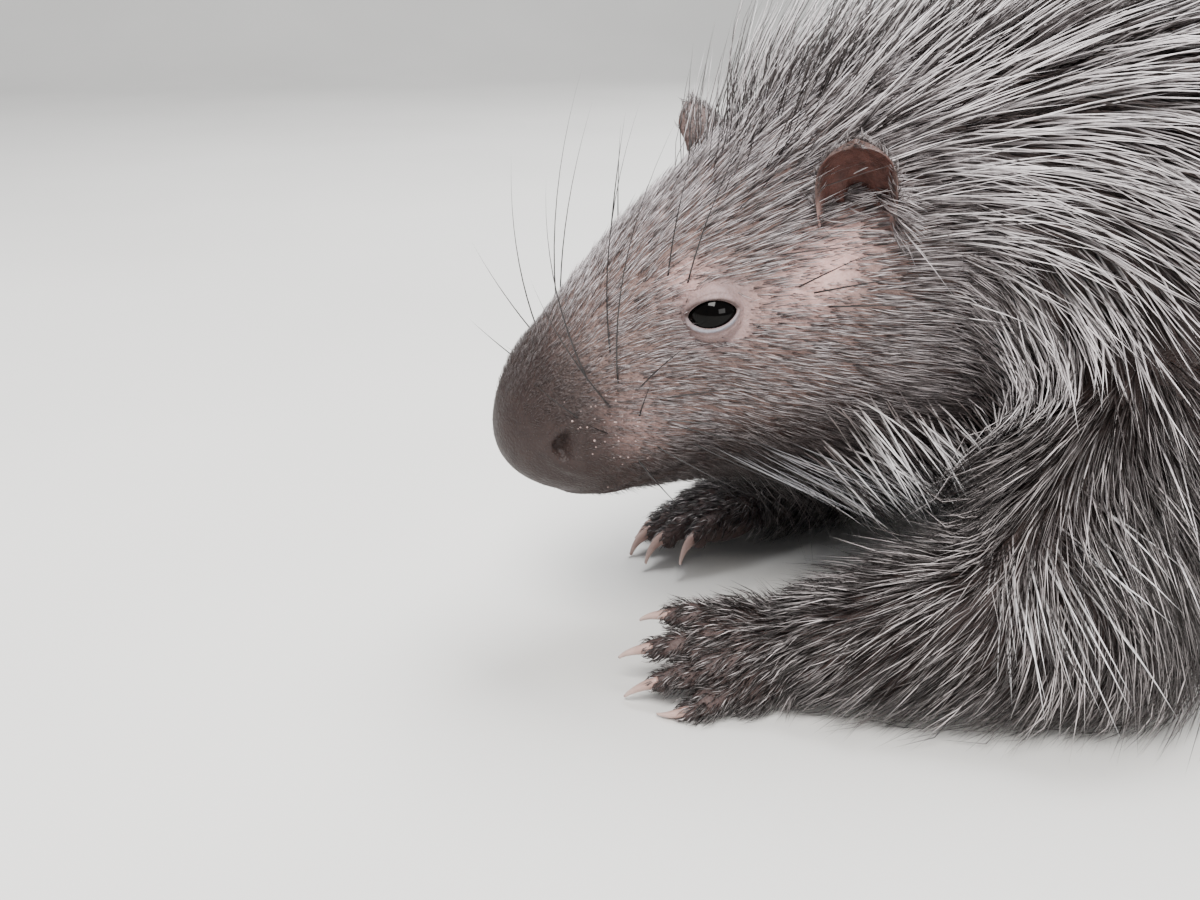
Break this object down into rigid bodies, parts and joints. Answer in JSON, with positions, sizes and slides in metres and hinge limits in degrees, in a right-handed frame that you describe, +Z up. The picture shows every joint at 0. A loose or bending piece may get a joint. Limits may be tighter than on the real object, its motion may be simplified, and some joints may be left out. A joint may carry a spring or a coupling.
{
  "type": "porcupine",
  "caption": "Life-size still model of an adult Malayan porcupine crouching with its head low and one forearm laid forward, quills lying back over the rump.",
  "frame": {"origin": "on the floor, under the middle of the whole model's bounding box", "axes": "+Z up, the nose points to -X, the animal's left side faces -Y"},
  "size_m": [0.8018, 0.2974, 0.2736],
  "materials": {
    "skin": "short-haired skin, satin",
    "coat": "coarse bristles, slightly glossy",
    "quills": "smooth horn, banded dark and pale",
    "eye": "wet gloss",
    "claw": "horn, half gloss"
  },
  "bodies": {
    "root": {"head": "skin", "ear_left": "skin", "ear_right": "skin", "eye_left": "eye", "eye_right": "eye", "neck": "coat", "torso": "coat", "tail": "quills", "upper_arm_left": "coat", "forearm_left": "coat", "forepaw_left": "skin", "fore_claw_left_1": "claw", "fore_claw_left_2": "claw", "fore_claw_left_3": "claw", "fore_claw_left_4": "claw", "upper_arm_right": "coat", "forearm_right": "coat", "forepaw_right": "skin", "fore_claw_right_1": "claw", "fore_claw_right_2": "claw", "fore_claw_right_3": "claw", "fore_claw_right_4": "claw", "thigh_left": "coat", "shank_left": "coat", "hind_foot_left": "skin", "hind_claw_left_1": "claw", "hind_claw_left_2": "claw", "hind_claw_left_3": "claw", "hind_claw_left_4": "claw", "hind_claw_left_5": "claw", "thigh_right": "coat", "shank_right": "coat", "hind_foot_right": "skin", "hind_claw_right_1": "claw", "hind_claw_right_2": "claw", "hind_claw_right_3": "claw", "hind_claw_right_4": "claw", "hind_claw_right_5": "claw"}
  },
  "joints": []
}
